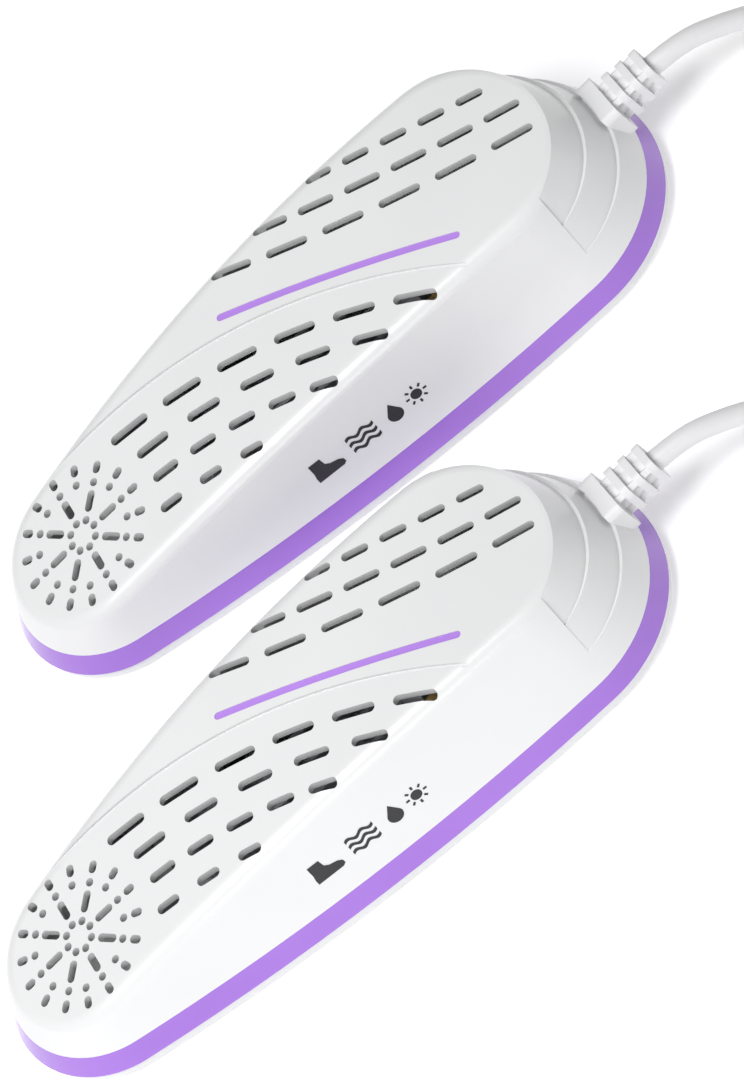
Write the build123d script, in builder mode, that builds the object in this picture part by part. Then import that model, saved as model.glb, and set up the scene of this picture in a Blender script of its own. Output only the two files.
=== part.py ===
from build123d import *
from math import atan2, cos, degrees, hypot, radians, sin, sqrt, tan
import os

# Boot dryer: a pair of identical heated shoe inserts on one mains cord.
# Millimetres, +Z up, toes towards -Y, both units flat on the floor at Z = 0.
# A unit is drawn with its toe end at Y = 0 and its long axis on X = 0.

# ---- outer form of a unit ----
UNIT_LENGTH = 190.0
TOE_RADIUS = 25.0
HEEL_RADIUS = 34.5
SIDE_RADIUS = 615.0
TOE_LEAN = 0.375           # how far the toe end leans in per mm of height
HEEL_LEAN = 0.40
TOE_SHRINK = 0.275         # loss of each corner radius per mm of height
HEEL_SHRINK = 0.25
SIDE_SHRINK = 0.625
RIM_HEIGHT = 4.0           # top of the bottom shell's rim, where the outline is widest
BAND_HEIGHT = 6.0
CROWN_HEIGHT = 39.8        # highest point of the top face on the long axis
CROWN_RADIUS = 460.0       # rise of the top face, seen from the side
CROWN_APEX = 0.763         # share of the length where the top face is highest
CROWN_TILT = 3.0           # lean of the top face towards +X
CREASE_RADIUS = 4.2        # rounding between the top face and the flanks
RIPPLES = ((18.5, 0.9), (28.0, 1.8))   # height and setback of each step round the heel
STEP_REACH = 0.88 * HEEL_RADIUS  # the steps fade out this far from the end of the heel

# ---- walls and fits ----
WALL = 2.2
HEEL_BACKING = 1.2         # extra wall behind the steps of the heel
BAND_THICKNESS = 2.2
SHELL_WALL = 1.8
FLOOR = 2.0
RIM_INSET = 0.6
RIM_CHAMFER = 1.2
FIT = 0.1                  # gap between pieces that slide together
SEAM = 0.2                 # gap above the bottom shell's inner wall

# ---- openings in the top face ----
FINE_SLOT = 2.3
WIDE_SLOT = 2.6
# slot length, width, count, then where the row starts, passes and ends (x, share of length)
SLOT_ROWS = (
    (7.1, FINE_SLOT, 5, (-22.6, 0.653), (-16.5, 0.752), (-10.8, 0.857)),
    (9.5, FINE_SLOT, 6, (-21.6, 0.567), (-10.4, 0.717), (-1.8, 0.876)),
    (11.0, FINE_SLOT, 6, (-20.3, 0.495), (-5.0, 0.674), (5.8, 0.865)),
    (11.0, WIDE_SLOT, 6, (22.0, 0.646), (2.2, 0.467), (-9.9, 0.271)),
    (9.3, WIDE_SLOT, 5, (21.7, 0.572), (7.5, 0.432), (-1.8, 0.281)),
    (7.4, WIDE_SLOT, 5, (22.0, 0.491), (12.5, 0.385), (6.0, 0.273)),
    (6.3, WIDE_SLOT, 3, (20.3, 0.371), (16.5, 0.312), (13.4, 0.253)),
)
STAR_OFFSET = 2.0          # centre of the toe rosette beyond the toe radius
STAR_TURN = 37.5
STAR_DOT = 2.0
STAR_RINGS = ((8, 3.6, 0.0), (8, 8.15, 5.2), (16, 12.6, 0.0), (16, 16.2, 3.0))
GROOVE_LINE = ((24.6, 0.718), (0.2, 0.537), (-18.6, 0.140))
GROOVE_WIDTH = 1.1
GROOVE_DEPTH = 0.8
ACCENT_LINE = ((-12.7, 0.447), (2.4, 0.599), (16.9, 0.734))
ACCENT_WIDTH = 1.9
ACCENT_DEPTH = 1.2
ACCENT_SINK = 0.2
PROUD = 1.0                # how far a cutter stands out of the face it cuts
SLOT_REACH = 5.5           # depth of a slot's cutter below the top face

# ---- screws that hold the housing ----
POST_PLACES = ((-17.0, 0.21), (17.0, 0.21), (-23.0, 0.79), (23.0, 0.79))
POST_RADIUS = 3.0
PILOT_RADIUS = 1.25
PILOT_DEPTH = 9.0
SCREW_HEAD_RADIUS = 2.6
SCREW_HEAD = 2.0
SCREW_RECESS = 0.6
SCREW_CLEARANCE = 0.3
SOCKET_RADIUS = 4.4
SOCKET_HEIGHT = 3.6        # boss on the floor round each counterbore

# ---- strain relief and cord ----
CORD_DIAMETER = 5.4
CORD_HEIGHT = 16.0         # cord axis where it leaves the heel
CORD_TILT = 6.5
RELIEF_PLATE = (14.4, 11.0, 2.4)
RELIEF_NECK = (9.6, 8.4)
RELIEF_INNER = (13.0, 11.0, 8.0)
RELIEF_TAIL = 12.4
RELIEF_RIBS = 3
RELIEF_RIB = 2.0
RELIEF_RIB_WIDTHS = (10.6, 9.4)
RELIEF_CORE = 3.5
RELIEF_WEB = 1.6

# ---- cord clamp ----
CLAMP_SETBACK = 13.0       # clamp centre behind the cord's exit
CLAMP_SIZE = (24.0, 7.0)
CLAMP_BAR = 2.0            # bar above the cord
CLAMP_PITCH = 16.0
CLAMP_BITE = 0.4           # gap between saddle and bar, taken up by the cord
CLAMP_SCREW_RADIUS = 1.1
CLAMP_HEAD_RADIUS = 2.2
CLAMP_HEAD = 1.6
CLAMP_THREAD = 6.0
SHEATH_STUB = 5.0          # sheath that shows past the clamp

# ---- heater ----
HEATER_CENTRE = 0.47
FRAME_SIZE = (36.0, 72.0)
FRAME_FLOOR = 2.0
FRAME_LIP = 5.0
FRAME_WALL = 2.0
FRAME_LEDGE = 3.0
FRAME_EAR = 11.0
FRAME_STAND = 3.0          # posts that carry the frame above the floor
SPREADER_PLATE = 1.6
FIN = 1.2
FIN_COUNT = 7
FIN_HEIGHT = 9.0
LOWER_FIN = 3.0
FILM = 0.3
ELECTRODE = 0.4
PTC = 2.4
PTC_SIZE = (20.0, 15.0)
PTC_COUNT = 3
PTC_PITCH = 18.0
TAB_SIZE = (5.0, 14.0)
TAB_OFFSET = 7.0
TERMINAL_SIZE = (6.4, 7.0, 3.4)
LEAD_DIAMETER = 1.8
FUSE_RADIUS = 2.0
FUSE_LENGTH = 10.0
SLEEVE_RADIUS = 2.8
SLEEVE_LENGTH = 16.0
VENT_SIZE = (14.0, 3.0)
VENT_PITCH = (20.0, 8.0)
VENT_COUNT = (2, 7)

# ---- cord run, on the floor behind the heels ----
COIL_PITCH = 5.56          # rise per turn, turn resting on turn
LEG_COIL = (27.0, 1)       # radius of the mid-turns, turning sense
MAIN_COIL = (32.0, -1)
COIL_SLACK = 0.1           # looseness of the stacked turns
COIL_LEAD = 20.5           # straight cord that joins a coil
TIE_THICKNESS = 1.0
TIE_WIDTH = 6.0
SPLITTER_SIZE = (26.0, 15.0, 7.4)
SPLITTER_SPREAD = 6.8      # distance between the two leg cords
PLUG_THICKNESS = 13.7
PLUG_LENGTH = 34.0
PLUG_WIDTH = 35.3
PLUG_NECK = 13.0
PIN_DIAMETER = 4.0
PIN_LENGTH = 19.0
PIN_SPACING = 18.6

# ---- the pair ----
PAIR_PITCH = 89.0          # sideways distance between the two long axes
PAIR_STAGGER = 60.0        # how far one unit lies ahead of the other
UNIT_PLACES = {
    "left": Location((-PAIR_PITCH / 2, (PAIR_STAGGER - UNIT_LENGTH) / 2, 0)),
    "right": Location((PAIR_PITCH / 2, -(PAIR_STAGGER + UNIT_LENGTH) / 2, 0)),
}

COVER_BASE = RIM_HEIGHT + BAND_HEIGHT
SHELL_INSET = BAND_THICKNESS + FIT
ENVELOPE_TOP = CROWN_HEIGHT + 6.0
CROWN_CENTRE_Y = CROWN_APEX * UNIT_LENGTH
STAR_Y = TOE_RADIUS + STAR_OFFSET
HEATER_Y = HEATER_CENTRE * UNIT_LENGTH
os.makedirs("parts", exist_ok=True)


def save_pair(part, name):
    """Write one copy of a unit's piece for each of the two units."""
    for side, place in UNIT_PLACES.items():
        piece = part.moved(place)
        piece.label = f"{side}_{name}"
        export_step(piece, f"parts/{side}_{name}.step")


def station(point):
    x, share = point
    return (x, share * UNIT_LENGTH)


# ---------------------------------------------------------------- outer form
def outline(height, inset=0.0, back=0.0):
    """Egg-shaped plan at a height, set in all round and further back at the heel end."""
    rise = height - RIM_HEIGHT
    toe = TOE_RADIUS - TOE_SHRINK * rise - inset
    heel = HEEL_RADIUS - HEEL_SHRINK * rise - inset
    side = SIDE_RADIUS - SIDE_SHRINK * rise - inset
    y_toe = TOE_LEAN * rise + inset + toe
    y_heel = UNIT_LENGTH - HEEL_LEAN * rise - inset - back - heel
    span = y_heel - y_toe
    run = ((side - toe) ** 2 - (side - heel) ** 2 + span**2) / (2 * span)
    x_side = -sqrt((side - toe) ** 2 - run**2)
    y_side = y_toe + run
    toe_angle = atan2(y_toe - y_side, -x_side)
    heel_angle = atan2(y_heel - y_side, -x_side)
    toe_end = (toe * cos(toe_angle), y_toe + toe * sin(toe_angle))
    heel_end = (heel * cos(heel_angle), y_heel + heel * sin(heel_angle))
    middle = (toe_angle + heel_angle) / 2
    bulge = (x_side + side * cos(middle), y_side + side * sin(middle))
    with BuildSketch(Plane.XY.offset(height)) as plan:
        with BuildLine():
            ThreePointArc((-toe_end[0], toe_end[1]), (0, y_toe - toe), toe_end)
            ThreePointArc(toe_end, bulge, heel_end)
            ThreePointArc(heel_end, (0, y_heel + heel), (-heel_end[0], heel_end[1]))
            ThreePointArc((-heel_end[0], heel_end[1]), (-bulge[0], bulge[1]), (-toe_end[0], toe_end[1]))
        make_face()
    return plan.sketch


def envelope(inset=0.0, back=0.0, bottom=RIM_HEIGHT, top=ENVELOPE_TOP):
    """Solid between the leaning flanks from one height to another."""
    with BuildPart() as body:
        loft([outline(bottom, inset, back), outline(top, inset, back)], ruled=True)
    return body.part


def crown_z(x, y):
    """Height of the top face."""
    arch = CROWN_HEIGHT - CROWN_RADIUS + sqrt(CROWN_RADIUS**2 - (y - CROWN_CENTRE_Y) ** 2)
    return arch - x * tan(radians(CROWN_TILT))


def under_crown(drop=0.0):
    """Everything below the arched top face lowered by a drop."""
    ends = (-HEEL_RADIUS, UNIT_LENGTH + HEEL_RADIUS)
    centre_z = CROWN_HEIGHT - CROWN_RADIUS
    radius = CROWN_RADIUS - drop
    arch = [
        (y, centre_z + sqrt(radius**2 - (y - CROWN_CENTRE_Y) ** 2))
        for y in (ends[0], CROWN_CENTRE_Y, ends[1])
    ]
    with BuildPart() as body:
        with BuildSketch(Plane.YZ):
            with BuildLine():
                ThreePointArc(*arch)
                Polyline(arch[2], (ends[1], -ENVELOPE_TOP), (ends[0], -ENVELOPE_TOP), arch[0])
            make_face()
        extrude(amount=2 * HEEL_RADIUS, both=True)
    return body.part.rotate(Axis((0, 0, CROWN_HEIGHT), (0, 1, 0)), CROWN_TILT)


with BuildPart() as outer_form:
    add(envelope())
    add(under_crown(), mode=Mode.INTERSECT)
    fillet(outer_form.faces().sort_by(Axis.Z)[-1].edges(), CREASE_RADIUS)

with BuildPart() as inner_form:
    add(envelope(WALL, HEEL_BACKING, RIM_HEIGHT - FLOOR))
    add(under_crown(WALL), mode=Mode.INTERSECT)

# The cord leaves square to this plane: local X across the unit, local Z outwards.
EXIT_Y = UNIT_LENGTH - HEEL_LEAN * (CORD_HEIGHT - RIM_HEIGHT)
CORD_AXIS = (0, cos(radians(CORD_TILT)), sin(radians(CORD_TILT)))
CORD_EXIT = Plane(origin=(0, EXIT_Y, CORD_HEIGHT), x_dir=(1, 0, 0), z_dir=CORD_AXIS)
CORD_RADIUS = CORD_DIAMETER / 2
CLAMP_Y = EXIT_Y - CLAMP_SETBACK
CLAMP_Z = CORD_HEIGHT - CLAMP_SETBACK * tan(radians(CORD_TILT))


def cord_line(start, end, radius=CORD_RADIUS):
    """Round bar on the cord's axis between two distances from the heel wall."""
    with BuildPart() as bar:
        with BuildSketch(CORD_EXIT.offset(start)):
            Circle(radius)
        extrude(amount=end - start)
    return bar.part


# ---------------------------------------------------------------- housing
def slot_places():
    """Place, direction and size of every slot and dot in the top face."""
    places = []
    for length, width, count, *bends in SLOT_ROWS:
        row = ThreePointArc(*[station(bend) for bend in bends])
        for step in range(count):
            spot = row @ (step / (count - 1))
            heading = row % (step / (count - 1))
            places.append((spot.X, spot.Y, degrees(atan2(heading.Y, heading.X)), length, width))
    for count, radius, length in STAR_RINGS:
        for step in range(count):
            turn = STAR_TURN + step * 360 / count
            x, y = radius * cos(radians(turn)), STAR_Y + radius * sin(radians(turn))
            places.append((x, y, turn, length, STAR_DOT))
    return places


def top_strip(line, width, sink, depth, gap=0.0):
    """Curved strip in the top face, from a sink to a depth below the surface."""
    arc = ThreePointArc(*[station(bend) for bend in line], mode=Mode.PRIVATE)
    with BuildPart() as strip:
        with BuildSketch(Plane.XY.offset(COVER_BASE)):
            SlotArc(arc, width - 2 * gap)
        extrude(amount=ENVELOPE_TOP)
        add(under_crown(sink), mode=Mode.INTERSECT)
        add(under_crown(depth), mode=Mode.SUBTRACT)
    return strip.part


def post_columns(radius, bottom, height):
    with BuildPart() as columns:
        with BuildSketch(Plane.XY.offset(bottom)):
            with Locations([station(place) for place in POST_PLACES]):
                Circle(radius)
        extrude(amount=height)
    return columns.part


def heel_step(height, setback):
    """What lies outside the set-back heel above a height."""
    with BuildPart() as step:
        with BuildSketch(Plane.XY.offset(height)):
            with Locations((0, UNIT_LENGTH - STEP_REACH)):
                Rectangle(3 * HEEL_RADIUS, 2 * HEEL_RADIUS, align=(Align.CENTER, Align.MIN))
        extrude(amount=ENVELOPE_TOP - height)
        add(envelope(back=setback), mode=Mode.SUBTRACT)
    return step.part


# Cover: thin shell with the slots, the sunk groove and accent channel, the two
# steps round the heel, the opening for the strain relief and four screw posts.
SOCKET_TOP = FLOOR + SOCKET_HEIGHT
with BuildPart() as cover_posts:
    add(post_columns(POST_RADIUS, SOCKET_TOP, ENVELOPE_TOP))
    add(inner_form.part, mode=Mode.INTERSECT)
    add(post_columns(PILOT_RADIUS, SOCKET_TOP, PILOT_DEPTH), mode=Mode.SUBTRACT)

with BuildPart() as top_cover:
    add(outer_form.part)
    add(inner_form.part, mode=Mode.SUBTRACT)
    for x, y, turn, length, width in slot_places():
        with BuildSketch(Plane.XY.offset(crown_z(x, y) - SLOT_REACH)):
            with Locations((x, y)):
                if length > width:
                    SlotOverall(length, width, rotation=turn)
                else:
                    Circle(width / 2)
    extrude(amount=2 * SLOT_REACH, mode=Mode.SUBTRACT)
    add(top_strip(GROOVE_LINE, GROOVE_WIDTH, -PROUD, GROOVE_DEPTH), mode=Mode.SUBTRACT)
    add(top_strip(ACCENT_LINE, ACCENT_WIDTH, -PROUD, ACCENT_DEPTH), mode=Mode.SUBTRACT)
    for height, setback in RIPPLES:
        add(heel_step(height, setback), mode=Mode.SUBTRACT)
    with BuildSketch(CORD_EXIT.offset(-RELIEF_INNER[2])):
        RectangleRounded(RELIEF_NECK[0], RELIEF_NECK[1], 1)
    extrude(amount=2 * RELIEF_INNER[2], mode=Mode.SUBTRACT)
    split(bisect_by=Plane.XY.offset(COVER_BASE), keep=Keep.TOP)
    add(cover_posts.part)
save_pair(top_cover.part, "top_cover")

with BuildPart() as accent_inlay:
    add(top_strip(ACCENT_LINE, ACCENT_WIDTH, ACCENT_SINK, ACCENT_DEPTH, FIT / 2))
save_pair(accent_inlay.part, "accent_inlay")

# Coloured band: a leaning ring clamped between the cover and the bottom shell.
with BuildPart() as trim_band:
    add(envelope(0, 0, RIM_HEIGHT, COVER_BASE))
    add(envelope(BAND_THICKNESS, 0, RIM_HEIGHT, COVER_BASE), mode=Mode.SUBTRACT)
save_pair(trim_band.part, "trim_band")

# Bottom shell: flat pan, inner wall inside the band, sockets, posts and saddle.
PILLAR_HEIGHT = FRAME_STAND
EAR_Y = FRAME_SIZE[1] / 2 + FRAME_EAR / 2
EARS = [(0, HEATER_Y - EAR_Y), (0, HEATER_Y + EAR_Y)]
with BuildPart() as bottom_shell:
    with BuildSketch(Plane.XY):
        add(outline(RIM_HEIGHT, RIM_INSET).moved(Location((0, 0, -RIM_HEIGHT))))
    extrude(amount=RIM_HEIGHT)
    chamfer(bottom_shell.faces().sort_by(Axis.Z)[0].edges(), RIM_CHAMFER)
    add(envelope(SHELL_INSET, 0, RIM_HEIGHT, COVER_BASE - SEAM))
    add(envelope(SHELL_INSET + SHELL_WALL, 0, RIM_HEIGHT, COVER_BASE - SEAM), mode=Mode.SUBTRACT)
    with BuildSketch(Plane.XY.offset(FLOOR)):
        add(outline(RIM_HEIGHT, SHELL_INSET + SHELL_WALL).moved(Location((0, 0, -RIM_HEIGHT))))
    extrude(amount=RIM_HEIGHT - FLOOR, mode=Mode.SUBTRACT)
    add(post_columns(SOCKET_RADIUS, FLOOR, SOCKET_HEIGHT))
    with BuildSketch(Plane.XY.offset(FLOOR)):
        with Locations(EARS):
            Circle(POST_RADIUS)
    extrude(amount=PILLAR_HEIGHT)
    with BuildSketch(Plane.XY.offset(FLOOR)):
        with Locations((0, CLAMP_Y)):
            Rectangle(CLAMP_SIZE[0], CLAMP_SIZE[1])
    extrude(amount=CLAMP_Z - CLAMP_BITE / 2 - FLOOR)
    add(cord_line(-CLAMP_SETBACK - CLAMP_SIZE[1], 0), mode=Mode.SUBTRACT)
    with BuildSketch(Plane.XY.offset(CLAMP_Z - CLAMP_BITE / 2)):
        with Locations((-CLAMP_PITCH / 2, CLAMP_Y), (CLAMP_PITCH / 2, CLAMP_Y)):
            Circle(CLAMP_SCREW_RADIUS)
    extrude(amount=-CLAMP_THREAD, mode=Mode.SUBTRACT)
    add(post_columns(PILOT_RADIUS + SCREW_CLEARANCE, 0, SOCKET_TOP), mode=Mode.SUBTRACT)
    add(post_columns(SCREW_HEAD_RADIUS + SCREW_CLEARANCE, 0, SCREW_RECESS + SCREW_HEAD), mode=Mode.SUBTRACT)
    with BuildSketch(Plane.XY.offset(FLOOR + PILLAR_HEIGHT)):
        with Locations(EARS):
            Circle(PILOT_RADIUS)
    extrude(amount=-PILLAR_HEIGHT, mode=Mode.SUBTRACT)
    with BuildSketch(Plane.XY):
        with Locations((0, HEATER_Y)):
            with GridLocations(*VENT_PITCH, *VENT_COUNT):
                SlotOverall(*VENT_SIZE)
    extrude(amount=FLOOR, mode=Mode.SUBTRACT)
save_pair(bottom_shell.part, "bottom_shell")

with BuildPart() as housing_screws:
    add(post_columns(SCREW_HEAD_RADIUS, SCREW_RECESS, SCREW_HEAD))
    add(post_columns(PILOT_RADIUS, SCREW_RECESS, SOCKET_TOP - SCREW_RECESS + PILOT_DEPTH - 1))
    with BuildSketch(Plane.XY.offset(SCREW_RECESS)):
        with Locations([station(place) for place in POST_PLACES]):
            Rectangle(2.8, 0.7)
            Rectangle(0.7, 2.8)
    extrude(amount=SCREW_HEAD / 2, mode=Mode.SUBTRACT)
save_pair(housing_screws.part, "housing_screws")

# ---------------------------------------------------------------- cord entry
# Strain relief: outer plate on the heel wall, neck, inner plate and ribbed tail.
RIB_PITCH = RELIEF_TAIL / RELIEF_RIBS
with BuildPart() as inner_plate:
    with BuildSketch(CORD_EXIT.offset(-RELIEF_INNER[2])):
        RectangleRounded(RELIEF_INNER[0], RELIEF_INNER[1], 1)
    extrude(amount=RELIEF_INNER[2])
    add(inner_form.part, mode=Mode.INTERSECT)

with BuildPart() as strain_relief:
    with BuildSketch(CORD_EXIT.offset(-RELIEF_PLATE[2])):
        RectangleRounded(RELIEF_PLATE[0], RELIEF_PLATE[1], 2)
    extrude(amount=2 * RELIEF_PLATE[2])
    add(outer_form.part, mode=Mode.SUBTRACT)
    add(inner_plate.part)
    with BuildSketch(CORD_EXIT.offset(-RELIEF_INNER[2])):
        RectangleRounded(RELIEF_NECK[0], RELIEF_NECK[1], 1)
    extrude(amount=RELIEF_INNER[2] + RELIEF_PLATE[2])
    with BuildSketch(CORD_EXIT.offset(RELIEF_PLATE[2])):
        Circle(RELIEF_CORE)
        web = hypot(RELIEF_RIB_WIDTHS[1], RELIEF_RIB_WIDTHS[1]) - 3
        Rectangle(web, RELIEF_WEB, rotation=45)
        Rectangle(web, RELIEF_WEB, rotation=-45)
    extrude(amount=RELIEF_TAIL)
    for rib in range(RELIEF_RIBS):
        end = RELIEF_PLATE[2] + (rib + 1) * RIB_PITCH
        taper = rib / (RELIEF_RIBS - 1)
        width = RELIEF_RIB_WIDTHS[0] + taper * (RELIEF_RIB_WIDTHS[1] - RELIEF_RIB_WIDTHS[0])
        with BuildSketch(CORD_EXIT.offset(end - RELIEF_RIB)):
            RectangleRounded(width, width, width / 4)
        extrude(amount=RELIEF_RIB)
    add(cord_line(-2 * RELIEF_INNER[2], 2 * RELIEF_TAIL), mode=Mode.SUBTRACT)
save_pair(strain_relief.part, "strain_relief")
RELIEF_TIP = RELIEF_PLATE[2] + RELIEF_TAIL

# Cord clamp: a bar over the cord, screwed down on the saddle of the bottom shell.
BAR_BOTTOM = CLAMP_Z + CLAMP_BITE / 2
BAR_TOP = CLAMP_Z + CORD_RADIUS + CLAMP_BAR
CLAMP_HOLES = [(-CLAMP_PITCH / 2, CLAMP_Y), (CLAMP_PITCH / 2, CLAMP_Y)]
with BuildPart() as cord_clamp:
    with BuildSketch(Plane.XY.offset(BAR_BOTTOM)):
        with Locations((0, CLAMP_Y)):
            RectangleRounded(CLAMP_SIZE[0], CLAMP_SIZE[1], 2)
        with Locations(CLAMP_HOLES):
            Circle(CLAMP_SCREW_RADIUS + SCREW_CLEARANCE, mode=Mode.SUBTRACT)
    extrude(amount=BAR_TOP - BAR_BOTTOM)
    add(cord_line(-CLAMP_SETBACK - CLAMP_SIZE[1], 0), mode=Mode.SUBTRACT)
save_pair(cord_clamp.part, "cord_clamp")

with BuildPart() as clamp_screws:
    with BuildSketch(Plane.XY.offset(BAR_TOP)):
        with Locations(CLAMP_HOLES):
            Circle(CLAMP_HEAD_RADIUS)
    extrude(amount=CLAMP_HEAD)
    with BuildSketch(Plane.XY.offset(BAR_TOP)):
        with Locations(CLAMP_HOLES):
            Circle(CLAMP_SCREW_RADIUS)
    extrude(amount=BAR_BOTTOM - CLAMP_BITE - BAR_TOP - CLAMP_THREAD + 1)
save_pair(clamp_screws.part, "clamp_screws")

# End of the sheathed cord, from the relief's neck to just past the clamp.
CORD_END = -CLAMP_SETBACK - CLAMP_SIZE[1] / 2 - SHEATH_STUB
CORD_START = 7.0
cord_end = cord_line(CORD_END, CORD_START)
save_pair(cord_end, "cord_end")

# ---------------------------------------------------------------- heater
FRAME_BASE = FLOOR + FRAME_STAND
FRAME_SEAT = FRAME_BASE + FRAME_FLOOR
STACK_SIZE = (FRAME_SIZE[0] - 2 * FRAME_WALL, FRAME_SIZE[1] - 2 * FRAME_WALL)
WINDOW = (STACK_SIZE[0] - 2 * FRAME_LEDGE, STACK_SIZE[1] - 2 * FRAME_LEDGE)
with BuildPart() as heater_frame:
    with BuildSketch(Plane.XY.offset(FRAME_BASE)):
        with Locations((0, HEATER_Y)):
            Rectangle(*FRAME_SIZE)
            Rectangle(FRAME_EAR, FRAME_SIZE[1] + 2 * FRAME_EAR)
        with Locations((0, HEATER_Y)):
            Rectangle(*WINDOW, mode=Mode.SUBTRACT)
        with Locations(EARS):
            Circle(PILOT_RADIUS + SCREW_CLEARANCE, mode=Mode.SUBTRACT)
    extrude(amount=FRAME_FLOOR)
    with BuildSketch(Plane.XY.offset(FRAME_SEAT)):
        with Locations((0, HEATER_Y)):
            Rectangle(*FRAME_SIZE)
            Rectangle(*STACK_SIZE, mode=Mode.SUBTRACT)
        with Locations((0, HEATER_Y + STACK_SIZE[1] / 2)):
            Rectangle(2 * TAB_OFFSET + 2 * TAB_SIZE[0], 4 * FRAME_WALL, mode=Mode.SUBTRACT)
    extrude(amount=FRAME_LIP)
save_pair(heater_frame.part, "heater_frame")

with BuildPart() as frame_screws:
    with BuildSketch(Plane.XY.offset(FRAME_SEAT)):
        with Locations(EARS):
            Circle(SCREW_HEAD_RADIUS)
    extrude(amount=SCREW_HEAD)
    with BuildSketch(Plane.XY.offset(FRAME_SEAT)):
        with Locations(EARS):
            Circle(PILOT_RADIUS)
    extrude(amount=-(FRAME_FLOOR + PILLAR_HEIGHT))
save_pair(frame_screws.part, "frame_screws")


def slab(size, bottom, thickness):
    """Flat plate centred over the heater."""
    with BuildPart() as plate:
        with BuildSketch(Plane.XY.offset(bottom)):
            with Locations((0, HEATER_Y)):
                Rectangle(*size)
        extrude(amount=thickness)
    return plate.part


def fins(bottom, height, length):
    """Row of parallel fins along the heater."""
    pitch = (WINDOW[0] - FIN) / (FIN_COUNT - 1)
    with BuildPart() as row:
        with BuildSketch(Plane.XY.offset(bottom)):
            with Locations((0, HEATER_Y)):
                with GridLocations(pitch, 1, FIN_COUNT, 1):
                    Rectangle(FIN, length)
        extrude(amount=height)
    return row.part


SPREADER_SIZE = (STACK_SIZE[0] - 2 * FIT, STACK_SIZE[1] - 2 * FIT)
ELECTRODE_SIZE = (PTC_SIZE[0] + 2, (PTC_COUNT - 1) * PTC_PITCH + PTC_SIZE[1] + 4)
FILM_SIZE = (ELECTRODE_SIZE[0] + 4, ELECTRODE_SIZE[1] + 4)
with BuildPart() as lower_spreader:
    add(slab(SPREADER_SIZE, FRAME_SEAT, SPREADER_PLATE))
    add(fins(FRAME_SEAT - LOWER_FIN, LOWER_FIN, WINDOW[1] - 2))
save_pair(lower_spreader.part, "lower_heat_spreader")

FILM_LOW = FRAME_SEAT + SPREADER_PLATE
ELECTRODE_LOW = FILM_LOW + FILM
PTC_LOW = ELECTRODE_LOW + ELECTRODE
ELECTRODE_HIGH = PTC_LOW + PTC
FILM_HIGH = ELECTRODE_HIGH + ELECTRODE
SPREADER_HIGH = FILM_HIGH + FILM
with BuildPart() as insulating_films:
    add(slab(FILM_SIZE, FILM_LOW, FILM))
    add(slab(FILM_SIZE, FILM_HIGH, FILM))
save_pair(insulating_films.part, "insulating_films")

TAB_START = HEATER_Y + ELECTRODE_SIZE[1] / 2
TAB_END = TAB_START + TAB_SIZE[1]
TABS = ((-TAB_OFFSET, ELECTRODE_LOW), (TAB_OFFSET, ELECTRODE_HIGH))
with BuildPart() as electrode_plates:
    for x, height in TABS:
        add(slab(ELECTRODE_SIZE, height, ELECTRODE))
        with BuildSketch(Plane.XY.offset(height)):
            with Locations((x, TAB_START + TAB_SIZE[1] / 2)):
                Rectangle(*TAB_SIZE)
        extrude(amount=ELECTRODE)
save_pair(electrode_plates.part, "electrode_plates")

with BuildPart() as ptc_elements:
    with BuildSketch(Plane.XY.offset(PTC_LOW)):
        with Locations((0, HEATER_Y)):
            with GridLocations(1, PTC_PITCH, 1, PTC_COUNT):
                Rectangle(*PTC_SIZE)
    extrude(amount=PTC)
save_pair(ptc_elements.part, "ptc_elements")

with BuildPart() as upper_spreader:
    add(slab(SPREADER_SIZE, SPREADER_HIGH, SPREADER_PLATE))
    add(fins(SPREADER_HIGH + SPREADER_PLATE, FIN_HEIGHT, WINDOW[1] - 2))
save_pair(upper_spreader.part, "upper_heat_spreader")

# ---------------------------------------------------------------- wiring
TERMINAL_REAR = TAB_END + TERMINAL_SIZE[1] - 5
with BuildPart() as crimp_terminals:
    for x, height in TABS:
        with BuildSketch(Plane.XY.offset(height + (ELECTRODE - TERMINAL_SIZE[2]) / 2)):
            with Locations((x, TERMINAL_REAR - TERMINAL_SIZE[1] / 2)):
                RectangleRounded(TERMINAL_SIZE[0], TERMINAL_SIZE[1], 0.8)
        extrude(amount=TERMINAL_SIZE[2])
        with BuildSketch(Plane.XY.offset(height)):
            with Locations((x, TAB_START + TAB_SIZE[1] / 2)):
                Rectangle(*TAB_SIZE)
        extrude(amount=ELECTRODE, mode=Mode.SUBTRACT)
save_pair(crimp_terminals.part, "crimp_terminals")


def lead(points, radii, radius=LEAD_DIAMETER / 2):
    """Round wire of straight runs joined by tangent arcs."""
    with BuildPart() as wire:
        with BuildLine():
            route = FilletPolyline(*points, radius=radii)
        with BuildSketch(Plane(origin=route @ 0, z_dir=route % 0)):
            Circle(radius)
        sweep()
    return wire.part


SHEATH_Y = EXIT_Y + CORD_END * cos(radians(CORD_TILT)) - CORD_RADIUS * sin(radians(CORD_TILT))
SHEATH_Z = CORD_HEIGHT + CORD_END * sin(radians(CORD_TILT))
CORE_OFFSET = 1.2
FUSE_X = -TAB_OFFSET - 2.5
FUSE_Y = (TERMINAL_REAR + SHEATH_Y) / 2
FUSE_Z = (ELECTRODE_LOW + SHEATH_Z) / 2
FUSE_HEEL = FUSE_Y + FUSE_LENGTH / 2
FUSE_TOE = FUSE_Y - FUSE_LENGTH / 2
with BuildPart() as thermal_fuse:
    with BuildSketch(Plane.XZ.offset(-FUSE_TOE)):
        with Locations((FUSE_X, FUSE_Z)):
            Circle(FUSE_RADIUS)
    extrude(amount=-FUSE_LENGTH)
save_pair(thermal_fuse.part, "thermal_fuse")

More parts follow.
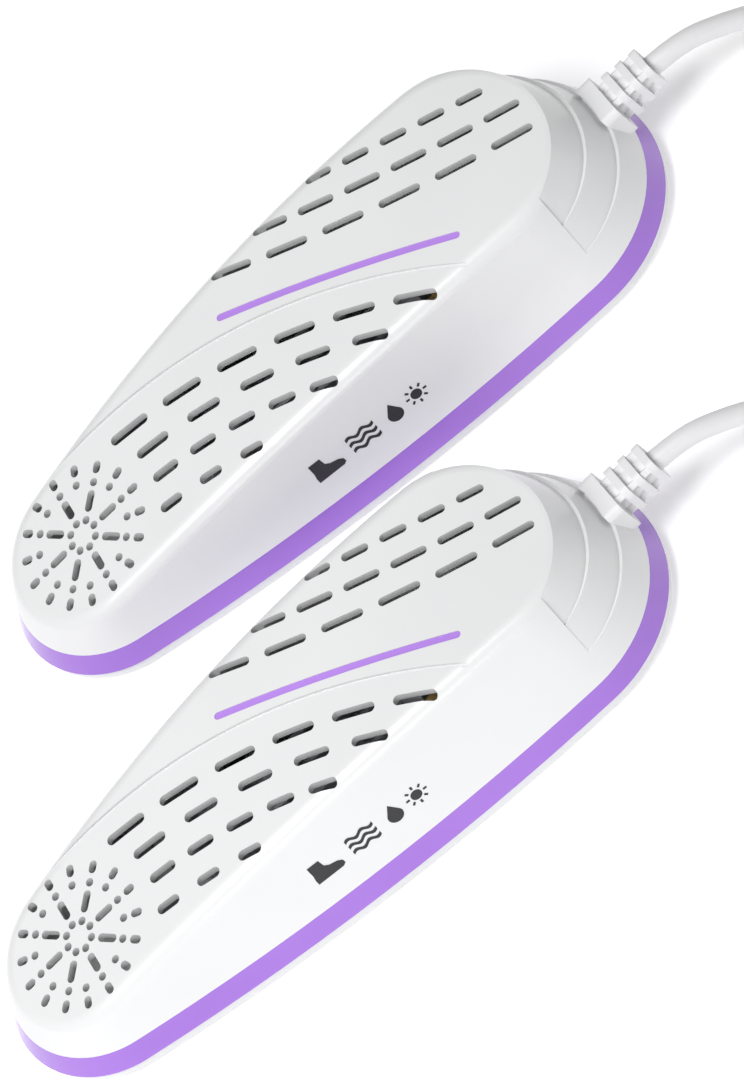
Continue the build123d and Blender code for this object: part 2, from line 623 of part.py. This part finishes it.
with BuildPart() as fuse_sleeve:
    with BuildSketch(Plane.XZ.offset(SLEEVE_LENGTH / 2 - FUSE_Y)):
        with Locations((FUSE_X, FUSE_Z)):
            Circle(SLEEVE_RADIUS)
            Circle(FUSE_RADIUS, mode=Mode.SUBTRACT)
    extrude(amount=-SLEEVE_LENGTH)
save_pair(fuse_sleeve.part, "fuse_sleeve")

SLEEVE_HEEL = FUSE_Y + SLEEVE_LENGTH / 2 + 1
SLEEVE_TOE = FUSE_Y - SLEEVE_LENGTH / 2 - 1
live_lead = lead(
    [
        (FUSE_X, FUSE_HEEL, FUSE_Z),
        (FUSE_X, SLEEVE_HEEL, FUSE_Z),
        (-CORE_OFFSET, SHEATH_Y - 2, SHEATH_Z),
        (-CORE_OFFSET, SHEATH_Y, SHEATH_Z),
    ],
    [1.5, 1.0],
)
save_pair(live_lead, "live_lead")
fuse_lead = lead(
    [
        (FUSE_X, FUSE_TOE, FUSE_Z),
        (FUSE_X, SLEEVE_TOE, FUSE_Z),
        (-TAB_OFFSET, TERMINAL_REAR + 2, ELECTRODE_LOW + ELECTRODE / 2),
        (-TAB_OFFSET, TERMINAL_REAR, ELECTRODE_LOW + ELECTRODE / 2),
    ],
    [1.5, 1.0],
)
save_pair(fuse_lead, "fuse_lead")
neutral_lead = lead(
    [
        (CORE_OFFSET, SHEATH_Y, SHEATH_Z),
        (CORE_OFFSET, SHEATH_Y - 4, SHEATH_Z),
        (TAB_OFFSET, TERMINAL_REAR + 5, ELECTRODE_HIGH + ELECTRODE / 2),
        (TAB_OFFSET, TERMINAL_REAR, ELECTRODE_HIGH + ELECTRODE / 2),
    ],
    [4.0, 4.0],
)
save_pair(neutral_lead, "neutral_lead")

# ---------------------------------------------------------------- cord set
# A leg cord leaves each relief, is stored in a coil and ends in the splitter.
# The main cord leaves the splitter, is stored in a coil and ends in the plug.
COIL_LEVEL = TIE_THICKNESS + CORD_RADIUS


def travel(heading):
    return Vector(cos(radians(heading)), sin(radians(heading)), 0)


def coil_ends(centre, size, heading, turns):
    """Outer ends of the straight leads on the first and the last turn."""
    radius, sense = size
    last = heading + sense * 360 * turns
    middle = Vector(centre[0], centre[1], COIL_LEVEL)
    lift = Vector(0, 0, turns * COIL_PITCH)
    first_point = middle - travel(heading + 90 * sense) * radius
    last_point = middle - travel(last + 90 * sense) * radius + lift
    return first_point - travel(heading) * COIL_LEAD, last_point + travel(last) * COIL_LEAD, last


def tube(points):
    """Cord along straight runs joined by tangent arcs as large as the runs allow."""
    points = [Vector(*point) for point in points]
    radii = []
    for before, here, after in zip(points, points[1:], points[2:]):
        turn = (here - before).get_angle(after - here)
        run = min((here - before).length, (after - here).length)
        radii.append(0.45 * run / tan(radians(turn / 2)))
    cord = lead(points, radii, CORD_RADIUS)
    print("cord radii", [round(radius) for radius in radii])
    return cord


def coil(centre, size, heading, turns):
    """Closed ring round a stack of turns, with the straight lead at each end."""
    radius = size[0]
    start, end, last = coil_ends(centre, size, heading, turns)
    height = turns * COIL_PITCH + CORD_DIAMETER + 2 * COIL_SLACK
    reach = COIL_LEAD - CORD_DIAMETER
    with BuildPart() as ring:
        with BuildSketch(Plane.XY.offset(TIE_THICKNESS - COIL_SLACK)):
            with Locations(centre):
                Circle(radius + CORD_RADIUS + COIL_SLACK)
                Circle(radius - CORD_RADIUS - COIL_SLACK, mode=Mode.SUBTRACT)
        extrude(amount=height)
        with BuildSketch(Plane(origin=start, z_dir=travel(heading))):
            Circle(CORD_RADIUS)
        extrude(amount=reach)
        with BuildSketch(Plane(origin=end, z_dir=-travel(last))):
            Circle(CORD_RADIUS)
        extrude(amount=reach)
    return ring.part


def tie(centre, size, turns, bearing):
    """Strap round a coil's stack of turns."""
    radius = size[0]
    height = turns * COIL_PITCH + CORD_DIAMETER
    inner, outer = radius - CORD_RADIUS - COIL_SLACK, radius + CORD_RADIUS + COIL_SLACK
    with BuildPart() as strap:
        with BuildSketch():
            with Locations(centre):
                Circle(outer + TIE_THICKNESS)
                Circle(inner - TIE_THICKNESS, mode=Mode.SUBTRACT)
        extrude(amount=height + 2 * TIE_THICKNESS)
        with BuildSketch(Plane.XY.offset(TIE_THICKNESS - COIL_SLACK)):
            with Locations(centre):
                Circle(outer)
                Circle(inner, mode=Mode.SUBTRACT)
        extrude(amount=height + 2 * COIL_SLACK, mode=Mode.SUBTRACT)
        with BuildSketch():
            with Locations(Location((centre[0], centre[1], 0), (0, 0, bearing))):
                with Locations((radius, 0)):
                    Rectangle(4 * CORD_DIAMETER, TIE_WIDTH)
        extrude(amount=height + 2 * TIE_THICKNESS, mode=Mode.INTERSECT)
    return strap.part


def save(part, name):
    part.label = name
    export_step(part, f"parts/{name}.step")


LEG_BEND = RELIEF_TIP + 6.7  # along the relief's axis, just past its tip
LEG_EXIT = CORD_EXIT.from_local_coords((0, 0, CORD_START))
LEG_ROUTE = [
    CORD_EXIT.from_local_coords((0, 0, LEG_BEND)),
    Vector(2.5, UNIT_LENGTH + 30.5, 14.4),
    Vector(6.5, UNIT_LENGTH + 45.3, 7.2),
]
LEG_LAST_RUN = 13.2
LEG_CENTRE = (11.5, UNIT_LENGTH + 102.5)
HEELS = UNIT_LENGTH / 2      # level of the heels, halfway between the two
LEG_HEADING = 50.0
LEG_TURNS = {"left": 1.944, "right": 2.194}
# Level straight at the coil, points between, level straight at the splitter.
LEG_TAILS = {
    "left": (15.9, [(26.6, HEELS + 141.3, 11.4), (35.8, HEELS + 157.5, CORD_RADIUS)], 11.1),
    "right": (19.1, [(49.9, HEELS + 138.2, 6.1), (48.7, HEELS + 158.2, CORD_RADIUS)], 12.1),
}
SPLITTER_PLACE = (49.3, HEELS + 184.1)
SPLITTER_HEADING = 75.0
ASIDE = travel(SPLITTER_HEADING + 90) * (SPLITTER_SPREAD / 2)
INLET = Vector(SPLITTER_PLACE[0], SPLITTER_PLACE[1], CORD_RADIUS)
OUTLET = INLET + travel(SPLITTER_HEADING) * SPLITTER_SIZE[0]
INLETS = {"left": INLET + ASIDE, "right": INLET - ASIDE}
ties = []
for side, place in UNIT_PLACES.items():
    turns = LEG_TURNS[side]
    centre = (LEG_CENTRE[0] + place.position.X, LEG_CENTRE[1] + place.position.Y)
    start, end, last = coil_ends(centre, LEG_COIL, LEG_HEADING, turns)
    route = [point + place.position for point in [LEG_EXIT, *LEG_ROUTE]]
    first_run, between, last_run = LEG_TAILS[side]
    after_coil = end + travel(last) * first_run
    before_splitter = INLETS[side] - travel(SPLITTER_HEADING) * last_run
    before_coil = start - travel(LEG_HEADING) * LEG_LAST_RUN
    save(tube([*route, before_coil, start]), f"{side}_leg_cord")
    save(coil(centre, LEG_COIL, LEG_HEADING, turns), f"{side}_leg_coil")
    save(tube([end, after_coil, *between, before_splitter, INLETS[side]]), f"{side}_leg_tail")
    ties.append(tie(centre, LEG_COIL, turns, 100))

SPLITTER_PLANE = Plane(
    origin=(*SPLITTER_PLACE, SPLITTER_SIZE[2] / 2), x_dir=travel(SPLITTER_HEADING), z_dir=(0, 0, 1)
)
with BuildPart() as cord_splitter:
    with BuildSketch(SPLITTER_PLANE):
        with Locations((SPLITTER_SIZE[0] / 2, 0)):
            RectangleRounded(SPLITTER_SIZE[0], SPLITTER_SIZE[1], 3.5)
    extrude(amount=SPLITTER_SIZE[2] / 2, both=True)
    fillet(cord_splitter.faces().sort_by(Axis.Z)[-1].edges(), 1.5)
save(cord_splitter.part, "cord_splitter")

MAIN_CENTRE = (124.0, HEELS + 202.0)
MAIN_HEADING = -6.0
MAIN_TURNS = 3.26
MAIN_ROUTE = [(70.0, HEELS + 234.2, CORD_RADIUS), (83.7, HEELS + 239.0, CORD_RADIUS)]
MAIN_STRAIGHTS = (14.6, 9.0, 18.1, 12.7)  # at the splitter, before and after the coil, at the plug
MAIN_TAIL = (146.0, HEELS + 137.4, 12.1)
PLUG_PLACE = Vector(141.5, HEELS + 108.0, PLUG_THICKNESS / 2)
PLUG_HEADING = -96.0
start, end, last = coil_ends(MAIN_CENTRE, MAIN_COIL, MAIN_HEADING, MAIN_TURNS)
after_splitter = OUTLET + travel(SPLITTER_HEADING) * MAIN_STRAIGHTS[0]
before_coil = start - travel(MAIN_HEADING) * MAIN_STRAIGHTS[1]
save(tube([OUTLET, after_splitter, *MAIN_ROUTE, before_coil, start]), "main_cord")
save(coil(MAIN_CENTRE, MAIN_COIL, MAIN_HEADING, MAIN_TURNS), "main_coil")
after_coil = end + travel(last) * MAIN_STRAIGHTS[2]
before_plug = PLUG_PLACE - travel(PLUG_HEADING) * MAIN_STRAIGHTS[3]
save(tube([end, after_coil, MAIN_TAIL, before_plug, PLUG_PLACE]), "main_tail")
ties.append(tie(MAIN_CENTRE, MAIN_COIL, MAIN_TURNS, 200))
with BuildPart() as coil_ties:
    add(ties)
save(coil_ties.part, "coil_ties")

# Flat plug with two round pins.
PLUG_PLANE = Plane(origin=PLUG_PLACE, x_dir=travel(PLUG_HEADING), z_dir=(0, 0, 1))
with BuildPart() as plug_body:
    with BuildSketch(PLUG_PLANE):
        with BuildLine():
            Polyline(
                (0, PLUG_NECK / 2),
                (PLUG_LENGTH / 4, PLUG_NECK / 2),
                (PLUG_LENGTH * 2 / 3, PLUG_WIDTH / 2),
                (PLUG_LENGTH, PLUG_WIDTH / 2),
                (PLUG_LENGTH, -PLUG_WIDTH / 2),
                (PLUG_LENGTH * 2 / 3, -PLUG_WIDTH / 2),
                (PLUG_LENGTH / 4, -PLUG_NECK / 2),
                (0, -PLUG_NECK / 2),
                close=True,
            )
        make_face()
    extrude(amount=PLUG_THICKNESS / 2, both=True)
    fillet(plug_body.edges().filter_by(Axis.Z), 2.5)
    fillet(plug_body.faces().sort_by(Axis.Z)[-1].edges(), 2)
save(plug_body.part, "plug_body")

PIN_PLANE = Plane(
    origin=PLUG_PLANE.from_local_coords((PLUG_LENGTH, 0, 0)), x_dir=PLUG_PLANE.y_dir, z_dir=PLUG_PLANE.x_dir
)
with BuildPart() as plug_pins:
    with BuildSketch(PIN_PLANE):
        with GridLocations(PIN_SPACING, 1, 2, 1):
            Circle(PIN_DIAMETER / 2)
    extrude(amount=PIN_LENGTH)
save(plug_pins.part, "plug_pins")
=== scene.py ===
from math import cos, pi, radians, sin

import bmesh
import bpy
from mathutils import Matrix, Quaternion, Vector


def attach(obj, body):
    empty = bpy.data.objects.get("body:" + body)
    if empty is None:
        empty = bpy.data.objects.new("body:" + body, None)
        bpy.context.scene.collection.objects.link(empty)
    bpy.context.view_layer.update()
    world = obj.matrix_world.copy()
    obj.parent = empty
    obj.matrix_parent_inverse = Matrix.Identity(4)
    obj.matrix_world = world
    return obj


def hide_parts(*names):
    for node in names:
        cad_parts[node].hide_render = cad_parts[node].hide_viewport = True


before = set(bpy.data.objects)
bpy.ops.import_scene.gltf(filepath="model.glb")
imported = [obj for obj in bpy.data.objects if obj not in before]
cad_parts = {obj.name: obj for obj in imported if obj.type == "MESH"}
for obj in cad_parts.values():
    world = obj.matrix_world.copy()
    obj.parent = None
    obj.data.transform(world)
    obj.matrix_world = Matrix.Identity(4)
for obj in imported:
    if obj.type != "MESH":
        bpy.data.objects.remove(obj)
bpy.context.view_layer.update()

# ---- housing ----
# The top cover and the bottom shell are moulded in one white plastic, satin
# with a thin clear gloss. Every moulded skin has a fine grain, a slow waviness
# and a faint drift of tone, which this group makes from object coordinates.
skin = bpy.data.node_groups.new("moulded_skin", "ShaderNodeTree")
for label, value in (("Grain scale", 2200.0), ("Grain", 0.05), ("Wave", 0.05)):
    skin.interface.new_socket(label, in_out="INPUT", socket_type="NodeSocketFloat").default_value = value
skin.interface.new_socket("Normal", in_out="OUTPUT", socket_type="NodeSocketVector")
skin.interface.new_socket("Tone", in_out="OUTPUT", socket_type="NodeSocketFloat")
new_node = skin.nodes.new
join = skin.links.new
given = new_node("NodeGroupInput")
place = new_node("ShaderNodeTexCoord")
grain = new_node("ShaderNodeTexNoise")
grain.inputs["Detail"].default_value = 2.0
wave = new_node("ShaderNodeTexNoise")
wave.inputs["Scale"].default_value = 60.0
wave.inputs["Detail"].default_value = 2.0
tone = new_node("ShaderNodeTexNoise")
tone.inputs["Scale"].default_value = 22.0
tone.inputs["Detail"].default_value = 4.0
grain_bump = new_node("ShaderNodeBump")
grain_bump.inputs["Distance"].default_value = 0.00006
wave_bump = new_node("ShaderNodeBump")
wave_bump.inputs["Distance"].default_value = 0.0004
out = new_node("NodeGroupOutput")
for noise in (grain, wave, tone):
    join(place.outputs["Object"], noise.inputs["Vector"])
join(given.outputs["Grain scale"], grain.inputs["Scale"])
join(grain.outputs["Fac"], grain_bump.inputs["Height"])
join(given.outputs["Grain"], grain_bump.inputs["Strength"])
join(wave.outputs["Fac"], wave_bump.inputs["Height"])
join(given.outputs["Wave"], wave_bump.inputs["Strength"])
join(wave_bump.outputs["Normal"], grain_bump.inputs["Normal"])
join(grain_bump.outputs["Normal"], out.inputs["Normal"])
join(tone.outputs["Fac"], out.inputs["Tone"])


def material(name, colour, other, roughness, grain_scale=2200.0, grain=0.05, wave=0.05, **extra):
    """Material with the moulded skin: two near colours blended by the tone drift."""
    made = bpy.data.materials.new(name)
    made.use_nodes = True
    nodes, links = made.node_tree.nodes, made.node_tree.links
    shader = nodes["Principled BSDF"]
    effect = nodes.new("ShaderNodeGroup")
    effect.node_tree = skin
    effect.inputs["Grain scale"].default_value = grain_scale
    effect.inputs["Grain"].default_value = grain
    effect.inputs["Wave"].default_value = wave
    blend = nodes.new("ShaderNodeValToRGB")
    blend.color_ramp.elements[0].position = 0.35
    blend.color_ramp.elements[0].color = (*other, 1)
    blend.color_ramp.elements[1].position = 0.65
    blend.color_ramp.elements[1].color = (*colour, 1)
    polish = nodes.new("ShaderNodeMapRange")
    polish.inputs["To Min"].default_value = roughness * 0.88
    polish.inputs["To Max"].default_value = roughness * 1.12
    links.new(effect.outputs["Tone"], blend.inputs["Fac"])
    links.new(effect.outputs["Tone"], polish.inputs["Value"])
    links.new(blend.outputs["Color"], shader.inputs["Base Color"])
    links.new(polish.outputs["Result"], shader.inputs["Roughness"])
    links.new(effect.outputs["Normal"], shader.inputs["Normal"])
    for socket, value in extra.items():
        shader.inputs[socket.replace("_", " ")].default_value = value
    return made


def finish_nodes(made, *names):
    """Gives that material to CAD nodes."""
    for name in names:
        for part_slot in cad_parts[name].material_slots:
            part_slot.material = made


def both(*names):
    """The same nodes of the two inserts."""
    return [f"{side}_{name}" for side in ("left", "right") for name in names]


housing = material(
    "housing",
    (0.82, 0.825, 0.83),
    (0.795, 0.80, 0.805),
    0.30,
    grain=0.06,
    Coat_Weight=0.3,
    Coat_Roughness=0.08,
)
finish_nodes(housing, *both("top_cover", "bottom_shell"))

# ---- violet band and accent ----
# Glossy violet band along the foot of the flanks, and the lighter satin inlay
# that curves over the toe end of the cover.
band = material(
    "violet_band",
    (0.37, 0.16, 0.70),
    (0.34, 0.14, 0.66),
    0.20,
    grain=0.03,
    Coat_Weight=0.5,
    Coat_Roughness=0.12,
)
finish_nodes(band, *both("trim_band"))
accent = material("light_violet", (0.50, 0.26, 0.84), (0.47, 0.24, 0.80), 0.34, grain=0.05, Coat_Weight=0.15)
finish_nodes(accent, *both("accent_inlay"))

# ---- printed pictograms on the flank ----
# Flat dark print, about 34 by 6 mm, on the flank that faces +X: a boot, warm
# air, a drop and a sun.
ink = material("dark_print", (0.020, 0.020, 0.022), (0.028, 0.028, 0.030), 0.42, grain=0.04)
PRINT_LENGTH, PRINT_HEIGHT = 34, 6      # millimetres, as are the outlines
sole_and_toe = [(0, 0), (7.4, 0), (8.2, 0.6), (8.1, 1.7), (7.0, 2.5), (5.0, 3.0)]
shaft = [(3.9, 3.8), (3.6, 6), (0.3, 6), (0.3, 3), (0, 1.5)]
shapes = [sole_and_toe + shaft]
for level in (0.5, 2.5, 4.5):
    steps = [index / 16 for index in range(17)]
    lower = [(11 + 8 * step, level + 0.5 * sin(4 * pi * step)) for step in steps]
    upper = [(u, v + 1.0) for u, v in reversed(lower)]
    shapes.append(lower + upper)
drop = [(24.2 + 2.1 * cos(radians(a)), 2.1 + 2.1 * sin(radians(a))) for a in range(-200, 21, 20)]
shapes.append(drop + [(24.2, 6)])
shapes.append([(31 + 1.5 * cos(radians(a)), 3 + 1.5 * sin(radians(a))) for a in range(0, 360, 20)])
for turn in range(0, 360, 45):
    ray = [(2.0, -0.3), (3.0, -0.3), (3.0, 0.3), (2.0, 0.3)]
    c, t = cos(radians(turn)), sin(radians(turn))
    shapes.append([(31 + u * c - v * t, 3 + u * t + v * c) for u, v in ray])
up = Vector((-0.530, 0, 0.848))         # along the flank, and square to it
out_of = Vector((0.848, 0, 0.530))
for side, centre in (("left", (-0.0150, 0.0290, 0.0195)), ("right", (0.0740, -0.0310, 0.0195))):
    sheet = bmesh.new()
    for shape in shapes:
        corners = [
            Vector(centre)
            + out_of * 0.002
            + Vector((0, (u - PRINT_LENGTH / 2) / 1000, 0))
            + up * ((v - PRINT_HEIGHT / 2) / 1000)
            for u, v in shape
        ]
        sheet.faces.new([sheet.verts.new(corner) for corner in corners])
    print_mesh = bpy.data.meshes.new(f"{side}_pictograms")
    sheet.to_mesh(print_mesh)
    sheet.free()
    printed = bpy.data.objects.new(f"{side}_pictograms", print_mesh)
    bpy.context.collection.objects.link(printed)
    printed.data.materials.append(ink)
    wrap = printed.modifiers.new("on_flank", "SHRINKWRAP")
    wrap.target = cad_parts[f"{side}_top_cover"]
    wrap.wrap_method = "NEAREST_SURFACEPOINT"
    wrap.wrap_mode = "ABOVE_SURFACE"
    wrap.offset = 0.00006
    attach(printed, "root")

# ---- strain reliefs, splitter, plug and cord ends ----
# Soft white mouldings with a fine spark-eroded grain. The two ends of cord
# inside the reliefs have the same finish.
soft = material("soft_white", (0.80, 0.80, 0.81), (0.76, 0.76, 0.77), 0.46, grain_scale=1500.0, grain=0.16)
finish_nodes(soft, *both("strain_relief", "cord_end"), "cord_splitter", "plug_body")

# ---- inside: frame, clamp, heater and leads ----
# The cord clamp, the glass-filled frame, the ceramic elements between their
# films, the silicone leads and the woven sleeve of the thermal fuse.
inner = material("inner_white", (0.74, 0.74, 0.71), (0.68, 0.68, 0.66), 0.55, grain_scale=1300.0, grain=0.2)
finish_nodes(inner, *both("cord_clamp"))
dark = material("glass_filled", (0.21, 0.21, 0.215), (0.26, 0.26, 0.265), 0.6, grain_scale=900.0, grain=0.35)
finish_nodes(dark, *both("heater_frame"))
ceramic = material("ceramic", (0.03, 0.028, 0.028), (0.05, 0.045, 0.042), 0.7, grain_scale=3000.0, grain=0.5)
finish_nodes(ceramic, *both("ptc_elements"))
film = material("amber_film", (0.42, 0.36, 0.28), (0.36, 0.31, 0.24), 0.18, grain=0.02, wave=0.3)
finish_nodes(film, *both("insulating_films"))
brown = material("brown_lead", (0.10, 0.035, 0.015), (0.08, 0.028, 0.012), 0.42, grain=0.1)
finish_nodes(brown, *both("live_lead", "fuse_lead"))
blue = material("blue_lead", (0.012, 0.05, 0.26), (0.01, 0.04, 0.21), 0.42, grain=0.1)
finish_nodes(blue, *both("neutral_lead"))
woven = material("woven_sleeve", (0.72, 0.67, 0.56), (0.60, 0.55, 0.45), 0.8, grain_scale=1800.0, grain=0.8)
finish_nodes(woven, *both("fuse_sleeve"))

# ---- inside: metal ----
# Extruded aluminium fins, stamped brass and zinc-plated steel, each with the
# streaks or mottling of its making.
aluminium = material(
    "extruded_aluminium",
    (0.80, 0.81, 0.83),
    (0.70, 0.71, 0.73),
    0.38,
    grain_scale=700.0,
    grain=0.2,
    Metallic=1.0,
)
finish_nodes(aluminium, *both("upper_heat_spreader", "lower_heat_spreader"))
brass = material(
    "stamped_brass", (0.78, 0.56, 0.22), (0.66, 0.45, 0.16), 0.30, grain_scale=500.0, grain=0.1, Metallic=1.0
)
finish_nodes(brass, *both("electrode_plates", "crimp_terminals"))
steel = material(
    "plated_steel", (0.66, 0.66, 0.68), (0.56, 0.57, 0.59), 0.28, grain_scale=600.0, grain=0.1, Metallic=1.0
)
finish_nodes(steel, *both("clamp_screws", "housing_screws", "frame_screws", "thermal_fuse"), "plug_pins")

# ---- ties round the stored coils ----
# Matt white straps, closed round each coil's stack of turns.
strap = material("tie_strap", (0.66, 0.66, 0.67), (0.58, 0.58, 0.59), 0.6, grain_scale=1100.0, grain=0.3)
finish_nodes(strap, "coil_ties")

# ---- cords ----
# Round two-core flex, 5.4 mm, soft white. A leg cord leaves each insert through
# its relief, is stored in a neat coil and ends in the splitter. The main cord
# leaves the splitter, is stored in a larger coil and ends in the plug.
sheath = material("cord_sheath", (0.78, 0.78, 0.79), (0.74, 0.74, 0.75), 0.42, grain_scale=900.0, grain=0.12)
FLEX = 0.0054          # diameter
PITCH = 0.00556        # rise of one turn of a coil
LEVEL = 0.0037         # height of a coil's lowest turn
LEAD = 0.0205          # straight cord that joins a coil
TURN_POINTS = 16
WIDENING = 1.008       # the line cuts inside its points, so they lie a little wide


def heading(angle):
    return Vector((cos(radians(angle)), sin(radians(angle)), 0))


def lay_cord(name, points):
    """One smooth line through the run of points."""
    curve = bpy.data.curves.new(name, "CURVE")
    curve.dimensions = "3D"
    curve.bevel_depth = FLEX / 2
    curve.bevel_resolution = 6
    curve.resolution_u = 6
    curve.use_fill_caps = True
    line = curve.splines.new("NURBS")
    line.points.add(len(points) - 1)
    for point, where in zip(line.points, points):
        point.co = (*where, 1)
    line.order_u = 3
    line.use_endpoint_u = True
    cord = bpy.data.objects.new(name, curve)
    bpy.context.collection.objects.link(cord)
    cord.data.materials.append(sheath)
    return cord


def coil(centre, radius, sense, first, turns):
    """Points of a stack of turns that starts at a heading, and its lead-in and lead-out."""
    last = first + sense * 360 * turns
    count = round(TURN_POINTS * turns)
    round_points = []
    for step in range(count + 1):
        share = step / count
        angle = first + sense * 360 * turns * share
        inward = heading(angle + 90 * sense)
        round_points.append(Vector((*centre, LEVEL + turns * PITCH * share)) - inward * radius * WIDENING)
    start = round_points[0] - heading(first) * LEAD
    end = round_points[-1] + heading(last) * LEAD
    return [start, *round_points, end], heading(last)


splitter_heading = heading(75)
inlet = Vector((0.0493, 0.2791, 0.0027))
aside = heading(165) * 0.0034
tilt = Vector((0, cos(radians(6.5)), sin(radians(6.5))))
mouth = Vector((0, 0.1852, 0.016))
legs = {
    "left": {
        "unit": Vector((-0.0445, -0.065, 0)),
        "turns": 1.944,
        "straights": (0.0159, 0.0111),
        "between": [(0.0266, 0.2363, 0.0114), (0.0358, 0.2525, 0.0027)],
        "into": aside,
    },
    "right": {
        "unit": Vector((0.0445, -0.125, 0)),
        "turns": 2.194,
        "straights": (0.0191, 0.0121),
        "between": [(0.0499, 0.2332, 0.0061), (0.0487, 0.2532, 0.0027)],
        "into": -aside,
    },
}
for side, leg in legs.items():
    unit = leg["unit"]
    turns_round, away = coil((unit.x + 0.0115, unit.y + 0.2925), 0.027, 1, 50, leg["turns"])
    exit_point = mouth + tilt * 0.007 + unit
    splitter_end = inlet + leg["into"]
    route = [
        exit_point,
        mouth + tilt * 0.0215 + unit,
        Vector((0.0025, 0.2205, 0.0144)) + unit,
        Vector((0.0065, 0.2353, 0.0072)) + unit,
        turns_round[0] - heading(50) * 0.0132,
        *turns_round,
        turns_round[-1] + away * leg["straights"][0],
        *[Vector(point) for point in leg["between"]],
        splitter_end - splitter_heading * leg["straights"][1],
        splitter_end,
    ]
    cord = lay_cord(f"{side}_leg_flex", route)
    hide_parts(f"{side}_leg_cord", f"{side}_leg_coil", f"{side}_leg_tail")
    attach(cord, "root")

outlet = inlet + splitter_heading * 0.026
main_turns, away = coil((0.124, 0.297), 0.032, -1, -6, 3.26)
plug = Vector((0.1415, 0.203, 0.00685))
main_route = [
    outlet,
    outlet + splitter_heading * 0.0146,
    Vector((0.0700, 0.3292, 0.0027)),
    Vector((0.0837, 0.3340, 0.0027)),
    main_turns[0] - heading(-6) * 0.009,
    *main_turns,
    main_turns[-1] + away * 0.0181,
    Vector((0.1460, 0.2324, 0.0121)),
    plug - heading(-96) * 0.0127,
    plug,
]
main_flex = lay_cord("main_flex", main_route)
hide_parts("main_cord", "main_coil", "main_tail")
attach(main_flex, "root")

# ---- camera ----
# High over the right flank, turned about its own axis, through a very long lens.
DISTANCE = 4.221
aim = Vector((-0.00605, 0.0126, 0))
towards = Vector((0.6154, 0.0194, 0.7880))
camera = bpy.data.objects.new("camera", bpy.data.cameras.new("camera"))
camera.data.lens = 600
camera.data.sensor_width = 36
camera.data.clip_end = 20
camera.location = aim + towards * DISTANCE
camera.rotation_mode = "QUATERNION"
camera.rotation_quaternion = towards.to_track_quat("Z", "Y") @ Quaternion((0, 0, 1), radians(-42.4))
bpy.context.collection.objects.link(camera)
bpy.context.scene.camera = camera

# ---- floor and light ----
# Plain white floor and soft boxes on a bright surround.
ground = bmesh.new()
bmesh.ops.create_grid(ground, x_segments=1, y_segments=1, size=3)
bmesh.ops.translate(ground, verts=ground.verts, vec=(0, 0, -0.0003))
floor_mesh = bpy.data.meshes.new("floor")
ground.to_mesh(floor_mesh)
ground.free()
floor = bpy.data.objects.new("floor", floor_mesh)
bpy.context.collection.objects.link(floor)
paper = material("paper_floor", (0.93, 0.93, 0.935), (0.92, 0.92, 0.925), 0.9, grain_scale=200.0)
floor.data.materials.append(paper)
glow = paper.node_tree.nodes["Principled BSDF"]
glow.inputs["Emission Color"].default_value = (1, 1, 1, 1)
glow.inputs["Emission Strength"].default_value = 0.28

world = bpy.data.worlds.new("surround")
world.use_nodes = True
world.node_tree.nodes["Background"].inputs["Color"].default_value = (1, 1, 1, 1)
world.node_tree.nodes["Background"].inputs["Strength"].default_value = 0.27
bpy.context.scene.world = world
for name, where, size, power in (
    ("overhead", (0.35, -0.5, 1.55), 0.8, 21.5),
    ("side", (1.4, -0.3, 0.5), 0.6, 3.5),
):
    lamp = bpy.data.lights.new(name, "AREA")
    lamp.shape = "SQUARE"
    lamp.size = size
    lamp.energy = power
    lit = bpy.data.objects.new(name, lamp)
    lit.location = where
    lit.rotation_mode = "QUATERNION"
    lit.rotation_quaternion = (Vector(where) - aim).to_track_quat("Z", "Y")
    bpy.context.collection.objects.link(lit)
bpy.context.scene.view_settings.view_transform = "Standard"
